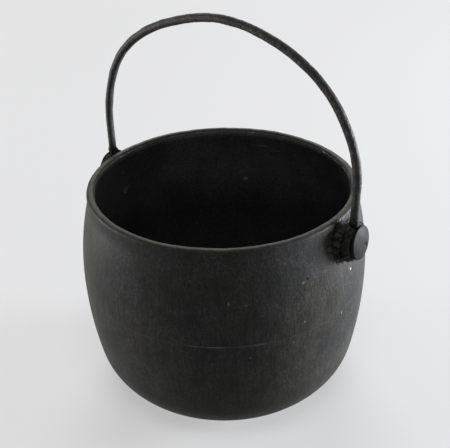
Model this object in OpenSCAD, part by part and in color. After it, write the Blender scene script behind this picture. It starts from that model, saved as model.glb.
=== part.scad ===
// Round-bellied cast iron cooking pot with a swinging bail handle.
// The pot stands on the XY plane with its axis on Z. The two ears lie on the
// X axis, and the bail turns about the line through them. Millimetres.

/* [Pot casting] */
// Height from the base to the top of the lip
pot_h = 158; // [150:1:175]
// Outer radius at the belly line, the widest point
belly_r = 103.5; // [98:0.1:116]
// How much the mouth draws in from the belly line
mouth_in = 8.2; // [7.5:0.1:9]
// Height of the belly line above the base
belly_z = 92; // [85:1:96]
// Radius of the long curve from the belly line up to the shoulder
upper_flank_r = 210; // [200:1:260]
// Radius of the long curve from the belly line down to the corner
lower_flank_r = 300; // [240:1:400]
// Radius of the round corner between the flank and the base
corner_r = 42; // [30:1:48]
// Radius of the hollow curve between the shoulder and the lip
neck_curve_r = 31; // [20:1:45]
// Thickness of the side wall
wall = 4.4; // [3.5:0.1:5.5]
// Thickness of the base
base_t = 5.5; // [4:0.1:8]
// Thickness of the lip
rim_t = 5.6; // [5.2:0.1:6.5]
// Radius that rounds both edges of the lip
lip_round = 2.2; // [1:0.1:2.5]
// Radius of the inside curve under the lip
lip_undercut_r = 5; // [3:0.5:8]
// Height that the mould seam stands proud of the belly
seam_h = 0.3; // [0.1:0.05:0.6]
// Width of the mould seam
seam_w = 1.8; // [1:0.1:3]

/* [Ears] */
// Depth of the ear axis below the top of the lip
ear_drop = 15.5; // [15:0.1:18]
// Gap between the bail's eye and the belly below the ear
belly_gap = 1; // [0.9:0.1:2]
// Radius of the ear pad at its face
pad_r = 12.4; // [10:0.1:13]
// How much wider the ear pad grows towards the wall
pad_draft = 1.1; // [0.5:0.1:1.4]
// Radius of the neck that the bail's eye turns on
neck_r = 6.2; // [5:0.1:7]
// Radius of the hollow curve at each end of the neck
neck_fillet = 0.9; // [0.4:0.1:1.1]
// Radius of the ear's round head
head_r = 11.6; // [10.5:0.1:13]
// Thickness of the head, half way up its edge
head_t = 2.5; // [2.4:0.1:4]
// Height of the head's dome above that edge
head_dome = 1.2; // [0.5:0.1:2]
// How far the face of the head leans up, in degrees, as the wall does there
head_lean = 6.5; // [3:0.5:8]
// Radius that rounds the edge of the head
head_round = 0.8; // [0.3:0.1:0.8]
// Depth of the stud's shank in the casting, behind the pad face
shank_depth = 4.6; // [3:0.1:5]
// Gap round the shank and behind it
seat_gap = 0.02; // [0.01:0.01:0.05]

/* [Bail] */
// Diameter of the bail's rod
rod_d = 5.6; // [4.5:0.1:6.5]
// Height of the crown's centreline above the ear axis
crown_rise = 130; // [115:1:150]
// How much larger the radius of the crown, the long curve across the top, is than
// half the distance between the legs
crown_over = 12; // [8:0.5:20]
// How much smaller the radius of the shoulders is than half that distance
shoulder_under = 18; // [12:0.5:30]
// How far the rod swells where one bend meets the next, as hammering leaves it
rod_swell = 0.08; // [0.05:0.01:0.15]
// Radius of the bend from the leg into the eye
eye_bend_r = 6.25; // [4:0.25:8]
// Inside radius of the eye
eye_r = 7.2; // [6.9:0.1:8]
// Where the eye's tip ends, in degrees round from the top
eye_end = 330; // [300:1:332]
// Gap between the top of the neck and the eye that hangs on it
hang_gap = 0.3; // [0.2:0.05:0.5]
// End play of the eye between the pad and the head
end_play = 0.8; // [0.6:0.1:1.5]

/* [Hidden] */
// Facets round the small turned forms, round the pot and round the rod
$fn = 96;
pot_fn = 180;
rod_fn = 40;
// Points along each long curve and each short curve of an outline
long_steps = 14;
short_steps = 8;

ear_z = pot_h - ear_drop;
rod_r = rod_d / 2;
mouth_r = belly_r - mouth_in;
// Sideways centres of the two flank curves
upper_cx = belly_r - upper_flank_r;
lower_cx = belly_r - lower_flank_r;
// The neck is as long as the rod is thick, with the end play
neck_l = rod_d + end_play;
// The eye hangs on the neck, so its centre lies a little below the ear axis
eye_ring_r = eye_r + rod_r;
eye_z = ear_z - (eye_r - neck_r - hang_gap);
// The pad holds the eye clear of the belly, which is wider at the bottom of the eye
pad_face = to_tenth(upper_flank_at(eye_z - eye_ring_r) + belly_gap - end_play / 2);
head_face = pad_face + neck_l;
eye_x = pad_face + neck_l / 2;
// Each leg of the bail comes straight down into its eye
leg_x = eye_x;
crown_r = leg_x + crown_over;
shoulder_r = leg_x - shoulder_under;
// The crown leans over by this much where it meets each shoulder, at shoulder_z
crown_cz = ear_z + crown_rise - crown_r;
lean = asin((leg_x - shoulder_r) / (crown_r - shoulder_r));
shoulder_z = thousandth(crown_cz + (crown_r - shoulder_r) * cos(lean));
// Length of centreline that a bend leaves to the swelling at its end
swell_reach = 0.1;

// Points on a round curve, from angle a0 to angle a1
function arc(cx, cy, r, a0, a1, steps) = [
    for (i = [0 : steps]) let (a = a0 + (a1 - a0) * i / steps) [cx + r * cos(a), cy + r * sin(a)]
];

// Points of a list in the opposite order
function backwards(list) = [for (i = [len(list) - 1 : -1 : 0]) list[i]];

// A distance to the nearest tenth of a millimetre
function to_tenth(x) = round(x * 10) / 10;

// A height to the nearest thousandth, so that two rods which meet there share one face
function thousandth(z) = round(z * 1000) / 1000;

// Outer radius of the body at a height between the belly line and the shoulder
function upper_flank_at(z) = upper_cx + sqrt(pow(upper_flank_r, 2) - pow(z - belly_z, 2));

// Flank of the body at one depth inside the outer surface: corner, lower curve,
// upper curve, and the hollow curve that meets a mouth of radius edge_r
function flank(depth, floor_z, round_r, hollow_r, edge_r, gap) =
    let (
        low_r = lower_flank_r - depth,
        high_r = upper_flank_r - depth,
        corner_z = floor_z + round_r,
        corner_x = lower_cx + sqrt(pow(low_r - round_r, 2) - pow(belly_z - corner_z, 2)),
        low_a = asin((belly_z - corner_z) / (low_r - round_r)),
        hollow_x = edge_r + hollow_r,
        hollow_z = belly_z + sqrt(pow(high_r + hollow_r, 2) - pow(hollow_x - upper_cx, 2)),
        high_a = acos((hollow_x - upper_cx) / (high_r + hollow_r))
    )
    concat(
        arc(corner_x, corner_z, round_r, -90, -low_a, long_steps),
        arc(lower_cx, belly_z, low_r, -low_a * (1 - 1 / long_steps), -asin(gap / low_r), long_steps),
        arc(upper_cx, belly_z, high_r, asin(gap / high_r), high_a, long_steps),
        arc(hollow_x, hollow_z, hollow_r, 180 + high_a * (1 - 1 / short_steps), 180, short_steps)
    );

outer_flank = flank(0, 0, corner_r, neck_curve_r, mouth_r, seam_w / 2);
inner_flank = flank(wall, base_t, corner_r - wall, lip_undercut_r, mouth_r - rim_t, seam_w / 2);
// The seam is a low ridge where the two flank curves meet
seam_at = 2 * long_steps + 1;
seam_ridge = [for (side = [-1, 1]) [belly_r + seam_h, belly_z + side * seam_w / 5]];
lip = concat(
    arc(mouth_r - lip_round, pot_h - lip_round, lip_round, 0, 90, short_steps),
    arc(mouth_r - rim_t + lip_round, pot_h - lip_round, lip_round, 90, 180, short_steps)
);
pot_outline = concat(
    [[0, 0]],
    [for (i = [0 : seam_at]) outer_flank[i]],
    seam_ridge,
    [for (i = [seam_at + 1 : len(outer_flank) - 1]) outer_flank[i]],
    lip,
    backwards(inner_flank),
    [[0, base_t]]
);

// Puts what is drawn on the Z axis onto the ear axis, on one side of the pot
module on_ear(side) {
    translate([0, 0, ear_z]) rotate([0, side * 90, 0]) children();
}

// The raised seat that holds the eye clear of the belly, rooted inside the wall
module ear_pad() {
    pad_back = mouth_r - wall / 4;
    rotate_extrude() polygon([
        [0, pad_back],
        [pad_r + pad_draft, pad_back],
        [pad_r + pad_draft / 2, pad_face - pad_draft],
        [pad_r - pad_draft / 2, pad_face],
        [0, pad_face]
    ]);
}

module pot() {
    color([0.20, 0.19, 0.18]) difference() {
        union() {
            rotate_extrude($fn = pot_fn) polygon(pot_outline);
            for (side = [-1, 1]) on_ear(side) ear_pad();
        }
        for (side = [-1, 1]) on_ear(side)
            translate([0, 0, pad_face - shank_depth - seat_gap])
                cylinder(r = neck_r + seat_gap, h = shank_depth + seat_gap + neck_l);
    }
}

// Domed round head, drawn about the middle of its edge, thick enough to reach back
// through the plane that its inner face is cut to
module head_blank() {
    // The dome is part of a sphere that rises head_dome over the flat of the head
    flat_r = head_r - head_round;
    dome_r = (pow(flat_r, 2) + pow(head_dome, 2)) / (2 * head_dome);
    dome_a = asin(flat_r / dome_r);
    rotate_extrude() polygon(concat(
        [[0, -2 * head_t], [head_r, -2 * head_t]],
        arc(flat_r, -head_round, head_round, 0, 90 - dome_a, short_steps),
        arc(0, head_dome - dome_r, dome_r, 90 - dome_a, 90, short_steps)
    ));
}

// Headed stud: shank in the casting, neck for the eye, and a head whose inner face
// is square to the neck and whose outer face leans up
module ear(side) {
    stud = concat(
        [[0, pad_face - shank_depth], [neck_r, pad_face - shank_depth]],
        arc(neck_r + neck_fillet, head_face - neck_fillet, neck_fillet, 180, 90, short_steps),
        [[neck_r + neck_fillet, head_face + head_t / 2], [0, head_face + head_t / 2]]
    );
    color([0.30, 0.30, 0.30]) on_ear(side) {
        rotate_extrude() polygon(stud);
        difference() {
            translate([0, 0, head_face + head_t]) rotate([0, -side * head_lean, 0]) head_blank();
            cylinder(r = 2 * head_r, h = head_face);
        }
    }
}

module ear_left() {
    ear(-1);
}

module ear_right() {
    ear(1);
}

// Round rod bent round the Z axis, from one angle to the other
module bent_rod(r, from, to) {
    rotate([0, 0, from]) rotate_extrude(angle = to - from) translate([r, 0]) circle(r = rod_r, $fn = rod_fn);
}

// Angle that the swelling takes up at the end of a bend
function swell_angle(r) = swell_reach / r * 180 / PI;

// Turns a bend about the Z axis into the XZ plane, or into the plane of the eye
module in_arch(x, z) {
    translate([x, 0, z]) rotate([90, 0, 0]) children();
}

module in_eye(y, z) {
    translate([eye_x, y, z]) rotate([90, 0, 90]) children();
}

// The slightly thicker place where one bend meets the next
module swelling(r, angle) {
    rotate([0, 0, angle]) translate([r, 0, 0]) rotate([90, 0, 0]) sphere(r = rod_r + rod_swell, $fn = rod_fn);
}

// One side of the bail: shoulder, leg, the bend into the eye, and the eye
module bail_side() {
    // The bend leaves the leg and meets the eye where both run the same way
    meet_a = asin(eye_bend_r / (eye_ring_r + eye_bend_r));
    bend_z = thousandth(eye_z + (eye_ring_r + eye_bend_r) * cos(meet_a));
    in_arch(leg_x - shoulder_r, shoulder_z) {
        bent_rod(shoulder_r, 0, 90 - lean - swell_angle(shoulder_r));
        swelling(shoulder_r, 90 - lean);
    }
    translate([leg_x, 0, bend_z]) cylinder(r = rod_r, h = shoulder_z - bend_z, $fn = rod_fn);
    in_eye(eye_bend_r, bend_z)
        bent_rod(eye_bend_r, 180, 270 - meet_a - swell_angle(eye_bend_r));
    in_eye(0, eye_z) {
        bent_rod(eye_ring_r, 90 - eye_end, 90 - meet_a - swell_angle(eye_ring_r));
        swelling(eye_ring_r, 90 - meet_a);
    }
}

module bail() {
    crown_a = lean - swell_angle(crown_r);
    color([0.13, 0.12, 0.11]) union() {
        in_arch(0, crown_cz) bent_rod(crown_r, 90 - crown_a, 90 + crown_a);
        bail_side();
        mirror([1, 0, 0]) bail_side();
    }
}

pot();
ear_left();
ear_right();
bail();
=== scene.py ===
"""Round-bellied cast iron cooking pot with a swinging forged bail.

The pot stands on the floor with its axis on Z, and its two headed ears lie on
the X axis. The bail turns on the necks of the ears. Sizes in the classes are
millimetres, as on a maker's drawing; every mesh is made in metres.
"""

import logging
import math
from dataclasses import dataclass
from enum import Enum
from functools import reduce

import bpy
import numpy as np
from mathutils import Matrix, Vector


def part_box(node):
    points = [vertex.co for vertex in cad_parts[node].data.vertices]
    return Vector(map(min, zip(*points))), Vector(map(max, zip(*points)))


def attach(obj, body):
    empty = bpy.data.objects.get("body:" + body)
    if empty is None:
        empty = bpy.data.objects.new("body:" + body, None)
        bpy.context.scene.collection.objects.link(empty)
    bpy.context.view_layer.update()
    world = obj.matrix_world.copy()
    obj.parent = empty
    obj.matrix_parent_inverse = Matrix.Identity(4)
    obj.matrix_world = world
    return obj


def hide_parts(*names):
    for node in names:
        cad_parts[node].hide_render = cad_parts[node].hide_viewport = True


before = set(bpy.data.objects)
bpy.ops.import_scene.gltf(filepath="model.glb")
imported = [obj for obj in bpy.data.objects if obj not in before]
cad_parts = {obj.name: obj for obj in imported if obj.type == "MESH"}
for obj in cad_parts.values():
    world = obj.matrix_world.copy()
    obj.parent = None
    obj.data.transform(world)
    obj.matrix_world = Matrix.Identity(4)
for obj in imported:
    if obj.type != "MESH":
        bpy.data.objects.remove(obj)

LOG = logging.getLogger("pot")
Colour = tuple[float, float, float]
Point = tuple[float, float]
Span = tuple[float, float]
Waves = tuple[tuple[int, float, float], ...]
Socket = bpy.types.NodeSocket
Material = bpy.types.Material
Piece = bpy.types.Object

MM = 0.001
# Driving sizes that several pieces and finishes share. The pot's box reaches out to its mould seam.
SEAM_RISE = 0.3
BELLY_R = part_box("pot")[1][0] / MM - SEAM_RISE
BELLY_Z = 92.0
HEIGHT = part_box("pot")[1][2] / MM
ROD_D = 5.6
SIDE_PLAY = 0.4
PAD_FACE = 100.3
LEG_X = PAD_FACE + SIDE_PLAY + ROD_D / 2
HEAD_FACE = LEG_X + ROD_D / 2 + SIDE_PLAY
EAR_Z = 142.5
HANG = 0.7
EYE_Z = EAR_Z - HANG


class Side(Enum):
    """Which end of the ear axis a piece belongs to."""

    LEFT = -1
    RIGHT = 1


class Zone(Enum):
    """Material slots of the pot casting, in order."""

    OUTSIDE = 0
    INSIDE = 1


def arc(cx: float, cy: float, r: float, start: float, end: float, step: float) -> list[Point]:
    """Samples a round curve.

    Args:
        cx: Sideways place of the centre.
        cy: Height of the centre.
        r: Radius.
        start: First angle, in degrees.
        end: Last angle, in degrees.
        step: Longest distance between two points.

    Returns:
        The points in order, both ends included.
    """
    sweep = math.radians(end - start)
    count = max(2, math.ceil(abs(sweep) * r / step))
    angles = [math.radians(start) + sweep * i / count for i in range(count + 1)]
    return [(cx + r * math.cos(a), cy + r * math.sin(a)) for a in angles]


def line(start: Point, end: Point, step: float) -> list[Point]:
    """Samples a straight stretch, both ends included, with points at most a step apart.

    Args:
        start: First point.
        end: Last point.
        step: Longest distance between two points.

    Returns:
        The points in order.
    """
    count = max(1, math.ceil(math.dist(start, end) / step))
    return [
        (start[0] + (end[0] - start[0]) * i / count, start[1] + (end[1] - start[1]) * i / count)
        for i in range(count + 1)
    ]


def joined(*runs: list[Point]) -> np.ndarray:
    """Joins runs of points into one outline, without the points that repeat.

    Args:
        *runs: The runs, in order.

    Returns:
        The outline, as (count, 2).
    """
    points = [p for run in runs for p in run]
    kept = [points[0]]
    for p in points[1:]:
        if math.dist(p, kept[-1]) > 1e-4:
            kept.append(p)
    return np.array(kept)


def smooth_step(value: np.ndarray, low: float, high: float) -> np.ndarray:
    """Rises smoothly from 0 at low to 1 at high."""
    t = np.clip((value - low) / (high - low), 0, 1)
    return t * t * (3 - 2 * t)


def wander(angle: np.ndarray, terms: Waves) -> np.ndarray:
    """Adds waves that close on themselves round a turn.

    Args:
        angle: Angles round the turn, in radians.
        terms: Waves as (number in a turn, height, phase).

    Returns:
        The sum of the waves at each angle.
    """
    total = np.zeros_like(angle)
    for count, height, phase in terms:
        total += height * np.sin(count * angle + phase)
    return total


@dataclass
class Lathe:
    """A closed turned form: an outline of (radius, height) points swept round the Z axis."""

    outline: np.ndarray
    around: int

    def points(self) -> np.ndarray:
        """Gives the rings of points, as (ring, step round the turn, xyz).

        Returns:
            The points, the first ring at the start of the outline.
        """
        turn = np.linspace(0, 2 * math.pi, self.around, endpoint=False)
        r, z = self.outline[:, 0][:, None], self.outline[:, 1][:, None]
        return np.stack([r * np.cos(turn), r * np.sin(turn), z + 0 * turn], axis=2)

    def faces(self) -> list[tuple[int, ...]]:
        """Gives the faces over those rings, with the two ends drawn to a point each.

        Returns:
            Corner numbers of each face.
        """
        n, rings = self.around, len(self.outline)
        made = []
        for i in range(rings - 1):
            a, b = i * n, (i + 1) * n
            made += [(a + j, a + (j + 1) % n, b + (j + 1) % n, b + j) for j in range(n)]
        last = (rings - 1) * n
        made += [(rings * n, (j + 1) % n, j) for j in range(n)]
        made += [(rings * n + 1, last + j, last + (j + 1) % n) for j in range(n)]
        return made


def placed(name: str, data: bpy.types.ID) -> Piece:
    """Puts a new object into the scene, at the origin.

    Args:
        name: Its name.
        data: Its mesh, curve, lamp or camera.

    Returns:
        The object.
    """
    made = bpy.data.objects.new(name, data)
    bpy.context.scene.collection.objects.link(made)
    return made


def mesh_object(name: str, points: np.ndarray, faces: list[tuple[int, ...]]) -> Piece:
    """Makes a smooth mesh object at the origin.

    Args:
        name: Name of the object and of its mesh.
        points: Corners in millimetres, as (count, xyz).
        faces: Corner numbers of each face, anticlockwise from outside.

    Returns:
        The new object, in the scene.
    """
    mesh = bpy.data.meshes.new(name)
    mesh.from_pydata((points * MM).tolist(), [], faces)
    mesh.polygons.foreach_set("use_smooth", [True] * len(mesh.polygons))
    mesh.update()
    return placed(name, mesh)


def lathe_object(name: str, lathe: Lathe, points: np.ndarray) -> Piece:
    """Makes a turned form into an object, from its rings after they were reshaped."""
    ends = np.array([points[0].mean(0), points[-1].mean(0)])
    return mesh_object(name, np.concatenate([points.reshape(-1, 3), ends]), lathe.faces())


def join(name: str, parts: list[Piece]) -> Piece:
    """Joins mesh objects into the first one and names it, keeping every material slot.

    Args:
        name: Name of the joined piece.
        parts: The objects, which are used up.

    Returns:
        The joined piece.
    """
    with bpy.context.temp_override(
        active_object=parts[0], object=parts[0], selected_editable_objects=parts, selected_objects=parts
    ):
        bpy.ops.object.join()
    parts[0].name = parts[0].data.name = name
    return parts[0]


class Graph:
    """Adds nodes to one node tree and joins their sockets."""

    def __init__(self, tree: bpy.types.NodeTree) -> None:
        """Starts from an emptied tree."""
        self.tree = tree
        tree.nodes.clear()

    def add(self, kind: str, inputs: dict | None = None, **settings: object) -> bpy.types.Node:
        """Adds one node.

        Args:
            kind: The node's type.
            inputs: Socket name or number, to a constant or to the socket that feeds it.
            **settings: The node's own properties.

        Returns:
            The new node.
        """
        node = self.tree.nodes.new(kind)
        for name, value in settings.items():
            setattr(node, name, value)
        for key, value in (inputs or {}).items():
            if isinstance(value, Socket):
                self.tree.links.new(value, node.inputs[key])
            else:
                node.inputs[key].default_value = value
        return node

    def calc(self, operation: str, a: object, b: object = 0.0) -> Socket:
        """Adds a sum on numbers, such as "MAXIMUM" or "SQRT", and gives its result."""
        return self.add("ShaderNodeMath", {0: a, 1: b}, operation=operation).outputs[0]

    def times(self, *values: object) -> Socket:
        """Multiplies numbers together."""
        return reduce(lambda a, b: self.calc("MULTIPLY", a, b), values)

    def plus(self, *values: object) -> Socket:
        """Adds numbers up."""
        return reduce(lambda a, b: self.calc("ADD", a, b), values)

    def minus(self, a: object, b: object) -> Socket:
        """Takes the second number from the first."""
        return self.calc("SUBTRACT", a, b)

    def vector(self, operation: str, a: object, b: object = (0.0, 0.0, 0.0), out: int = 0) -> Socket:
        """Adds a sum on vectors and gives one of its results, 0 for a vector and 1 for a number."""
        return self.add("ShaderNodeVectorMath", {0: a, 1: b}, operation=operation).outputs[out]

    def scaled(self, vector: object, factor: object) -> Socket:
        """Makes a vector longer or shorter, or a colour lighter or darker, by a factor."""
        return self.add("ShaderNodeVectorMath", {0: vector, "Scale": factor}, operation="SCALE").outputs[0]

    def split(self, vector: object) -> tuple[Socket, Socket, Socket]:
        """Gives the x, y and z of a vector."""
        return tuple(self.add("ShaderNodeSeparateXYZ", {0: vector}).outputs)

    def point(self, x: object, y: object, z: object) -> Socket:
        """Makes a vector of its x, y and z."""
        return self.add("ShaderNodeCombineXYZ", {0: x, 1: y, 2: z}).outputs[0]

    def ramp(self, value: object, low: float, high: float, to: Span = (0.0, 1.0)) -> Socket:
        """Runs smoothly from to[0] at low to to[1] at high."""
        inputs = {0: value, 1: low, 2: high, 3: to[0], 4: to[1]}
        return self.add("ShaderNodeMapRange", inputs, interpolation_type="SMOOTHSTEP").outputs[0]

    def span(self, length: object, low: float, high: float, to: Span = (0.0, 1.0)) -> Socket:
        """Runs as ramp does, over a length whose low and high are given in millimetres."""
        return self.ramp(length, low * MM, high * MM, to)

    def noise(self, where: object, size: float, detail: float = 2.0, rough: float = 0.5) -> Socket:
        """Adds cloudy noise whose patches are about size millimetres across."""
        inputs = {"Vector": where, "Scale": 1 / (size * MM), "Detail": detail, "Roughness": rough}
        return self.add("ShaderNodeTexNoise", inputs).outputs[0]

    def cells(self, where: object, size: float, feature: str) -> Socket:
        """Adds scattered cells about size millimetres across, and gives a distance within each."""
        inputs = {"Vector": where, "Scale": 1 / (size * MM), "Randomness": 1.0}
        return self.add("ShaderNodeTexVoronoi", inputs, feature=feature).outputs["Distance"]

    def blend(self, share: object, first: object, second: object) -> Socket:
        """Mixes two colours, from the first at share 0 to the second at share 1."""
        pair = [c if isinstance(c, Socket) else (*c, 1.0) for c in (first, second)]
        return self.add("ShaderNodeMix", {0: share, 6: pair[0], 7: pair[1]}, data_type="RGBA").outputs[2]


@dataclass(frozen=True)
class Mark:
    """A knock, chip, stain or painted shadow on the casting, in millimetres. Its depth is negative where it
    stands proud.
    """

    at: tuple[float, float, float]
    reach: tuple[float, float, float]
    colour: Colour
    depth: float = 0.0
    ragged: float = 1.2


class Paint(Graph):
    """The node tree of one material, drawn in Object coordinates."""

    def __init__(self, name: str) -> None:
        """Opens a new material.

        Args:
            name: Its name.
        """
        self.made = bpy.data.materials.new(name)
        self.made.use_nodes = True
        super().__init__(self.made.node_tree)
        self.where = self.add("ShaderNodeTexCoord").outputs["Object"]

    def drawn_down(self, share: float) -> Socket:
        """Gives coordinates in which a pattern is drawn out along Z, to 1 / share of its length."""
        return self.add("ShaderNodeMapping", {0: self.where, 3: (1.0, 1.0, share)}).outputs[0]

    def warped(self, noise: object, reach: float) -> Socket:
        """Shifts coordinates by a noise, so that what is drawn in them loses its straight lines."""
        shift = self.times(noise, reach * MM)
        return self.vector("ADD", self.where, self.point(shift, shift, shift))

    def from_ear(self, out: float, squash: float, middle: Point) -> Socket:
        """Gives the distance in metres from a point at either ear.

        Args:
            out: How far the point is from the pot's axis.
            squash: Factor on the part of the distance that runs outwards.
            middle: The point's y and z.

        Returns:
            The distance.
        """
        x, y, z = self.split(self.where)
        across = self.times(self.minus(self.calc("ABSOLUTE", x), out * MM), squash)
        return self.vector("DISTANCE", self.point(across, y, z), (0, middle[0] * MM, middle[1] * MM), 1)

    def spot(self, mark: Mark, ragged: object) -> Socket:
        """Gives 1 inside a mark and 0 outside it, with an edge that a noise eats into.

        Args:
            mark: Place and size of the mark.
            ragged: Noise from 0 to 1 that eats into the edge.

        Returns:
            The share of the mark at each point.
        """
        centre = tuple(c * MM for c in mark.at)
        size = tuple(1 / (r * MM) for r in mark.reach)
        away = self.vector("MULTIPLY", self.vector("SUBTRACT", self.where, centre), size)
        uneven = self.times(self.minus(ragged, 0.5), mark.ragged)
        return self.ramp(self.plus(self.vector("LENGTH", away, out=1), uneven), 0.72, 1.0, (1.0, 0.0))

    def marked(
        self, colour: object, height: object, marks: tuple[Mark, ...], ragged: object
    ) -> tuple[Socket, Socket]:
        """Puts marks on a surface.

        Args:
            colour: Colour before the marks.
            height: Relief before the marks.
            marks: The marks, the last on top.
            ragged: Noise from 0 to 1 that eats into their edges.

        Returns:
            The colour and the relief with the marks.
        """
        for mark in marks:
            spot = self.spot(mark, ragged)
            colour = self.blend(spot, colour, mark.colour)
            height = self.minus(height, self.times(spot, mark.depth))
        return colour, height

    def coat(self, colour: object, rough: object, specular: object, bump: tuple | None = None) -> Material:
        """Ends the tree in one surface.

        Args:
            colour: Base colour.
            rough: Roughness.
            specular: Strength of the sheen, where 0.5 is that of plain glass.
            bump: Relief, its strength and its depth in millimetres, if there is any.

        Returns:
            The finished material.
        """
        inputs = {"Base Color": colour, "Roughness": rough, "Specular IOR Level": specular}
        if bump:
            relief = {"Height": bump[0], "Strength": bump[1], "Distance": bump[2] * MM}
            inputs["Normal"] = self.add("ShaderNodeBump", relief).outputs[0]
        surface = self.add("ShaderNodeBsdfPrincipled", inputs)
        self.add("ShaderNodeOutputMaterial", {"Surface": surface.outputs[0]})
        return self.made


@dataclass(frozen=True)
class SkinFinish:
    """Outside of the casting: black sandy iron, brown in places, worn on the lip and sooty at the ears, with
    painted shade in the crust's cracks and a painted shadow above the right pad.
    """

    name: str = "seasoned_iron"
    black: Colour = (0.0207, 0.0206, 0.0200)
    brown: Colour = (0.0232, 0.0226, 0.0186)
    olive: Colour = (0.0800, 0.0780, 0.0560)
    steel: Colour = (0.0660, 0.0715, 0.0900)
    lip_worn: Colour = (0.0270, 0.0252, 0.0150)
    soot: Colour = (0.0255, 0.0248, 0.0238)
    # Painted shade: near-black colour for the cracks of the crust at the pads.
    crack_shade: Colour = (0.0030, 0.0028, 0.0026)
    rust: Colour = (0.0600, 0.0580, 0.0545)
    seam: Colour = (0.1150, 0.1120, 0.0900)
    grain_size: float = 1.6
    fine_size: float = 0.88
    speck_size: float = 1.1
    streak_size: float = 2.6
    patch_size: float = 15.0
    cloud_size: float = 55.0
    crust_size: float = 2.6
    crack_size: float = 6.5
    fine_shade: Span = (0.74, 1.26)
    streak_shade: Span = (0.86, 1.16)
    patch_shade: Span = (0.88, 1.12)
    grit_share: Span = (0.20, 0.50)
    worn: Span = (HEIGHT - 0.7, HEIGHT + 0.4)
    seam_line: Span = (0.1, 0.7)
    seam_middle: tuple[float, float, float] = (61.0, -83.0, BELLY_Z)
    seam_reach: Span = (16.0, 30.0)
    soot_middle: Point = (-1.0, EAR_Z - 0.5)
    soot_reach: Span = (13.0, 20.0)
    soot_ragged: float = 18.0
    rough: Span = (0.45, 0.60)
    specular: float = 0.055
    bump: tuple[float, float] = (0.6, 0.4)
    marks: tuple[Mark, ...] = (
        Mark((101.7, 2.3, 118.8), (0.9, 0.5, 1.3), (0.52, 0.54, 0.42), 0.3, 0.4),
        Mark((102.9, -9.8, 90.5), (1.0, 1.0, 1.9), (0.085, 0.088, 0.095), 0.5),
        Mark((90.8, -42.0, 129.0), (1.4, 1.6, 1.1), (0.075, 0.075, 0.064), 0.2),
        Mark((92.2, -39.6, 130.6), (1.2, 1.5, 1.3), (0.006, 0.006, 0.006), 1.0),
        Mark((94.6, -33.0, 129.8), (0.9, 1.3, 0.6), (0.045, 0.046, 0.038), 0.3),
        Mark((97.0, -24.0, 130.0), (1.0, 1.6, 0.8), (0.040, 0.043, 0.044), 0.3),
        Mark((69.2, -74.0, 122.2), (1.2, 1.2, 0.9), (0.060, 0.062, 0.056), 0.2),
        Mark((93.7, -43.4, 100.6), (0.8, 0.8, 1.0), (0.075, 0.076, 0.070), 0.2),
        Mark((90.0, -50.9, 87.3), (0.8, 0.8, 0.7), (0.065, 0.066, 0.061), 0.2),
        Mark((71.9, -74.1, 81.9), (0.9, 0.9, 0.8), (0.085, 0.085, 0.068), 0.2),
        Mark((60.5, -80.9, 123.7), (0.7, 0.7, 1.6), (0.100, 0.098, 0.062), 0.2),
        # Painted shadow: a soft dark smudge on the wall above the right pad, where the bail shades it.
        Mark((95.1, -4.6, 152.6), (2.5, 2.6, 3.4), (0.010, 0.010, 0.010), 0.0, 0.9),
    )

    def iron(self, g: Paint, grain: Socket, patch: Socket, specks: Socket) -> tuple[Socket, Socket]:
        """Gives the colour and the relief of the plain iron.

        Args:
            g: The material's tree.
            grain: Sandy noise.
            patch: Noise of the broad patches.
            specks: Noise of the finest specks.

        Returns:
            The colour and the relief.
        """
        fine = g.noise(g.drawn_down(0.22), self.fine_size, 2, 0.7)
        streak = g.noise(g.drawn_down(0.05), self.streak_size, 4, 0.65)
        cloud = g.noise(g.where, self.cloud_size, 3, 0.55)
        colour = g.blend(g.ramp(cloud, 0.40, 0.60), self.black, self.brown)
        colour = g.scaled(colour, g.ramp(fine, 0.32, 0.68, self.fine_shade))
        colour = g.scaled(colour, g.ramp(streak, 0.34, 0.66, self.streak_shade))
        colour = g.scaled(colour, g.ramp(patch, 0.36, 0.64, self.patch_shade))
        grit = g.times(g.ramp(grain, 0.53, 0.68), g.ramp(patch, 0.38, 0.62, self.grit_share))
        colour = g.blend(grit, colour, g.blend(g.ramp(specks, 0.46, 0.54), self.olive, self.steel))
        return colour, g.plus(g.times(grain, 0.55), g.times(fine, 0.45), g.times(streak, 0.25))

    def lip(self, g: Paint, colour: Socket, grain: Socket, patch: Socket, specks: Socket) -> Socket:
        """Wears the lip dull olive, with greyer specks.

        Args:
            g: The material's tree.
            colour: Colour of the iron.
            grain: Sandy noise.
            patch: Noise of the broad patches.
            specks: Noise of the finest specks.

        Returns:
            The colour with the worn lip.
        """
        top = g.span(g.split(g.where)[2], *self.worn)
        share = g.times(top, g.ramp(patch, 0.28, 0.62, (0.80, 1.0)))
        worn = g.blend(g.ramp(specks, 0.52, 0.68, (0.0, 0.30)), self.lip_worn, self.steel)
        return g.blend(share, colour, g.scaled(worn, g.ramp(grain, 0.35, 0.65, (0.7, 1.3))))

    def seam_share(self, g: Paint) -> Socket:
        """Gives 1 on the broken line of the mould seam, strongest at the front.

        Args:
            g: The material's tree.

        Returns:
            The share of the seam at each point.
        """
        off_seam = g.calc("ABSOLUTE", g.minus(g.split(g.where)[2], BELLY_Z * MM))
        on_line = g.span(off_seam, *self.seam_line, (1.0, 0.0))
        broken = g.ramp(g.noise(g.where, 9, 3, 0.6), 0.40, 0.52, (0.35, 1.0))
        middle = tuple(c * MM for c in self.seam_middle)
        front = g.span(g.vector("DISTANCE", g.where, middle, 1), *self.seam_reach, (1.0, 0.12))
        return g.times(on_line, front, broken, 0.8)

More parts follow.
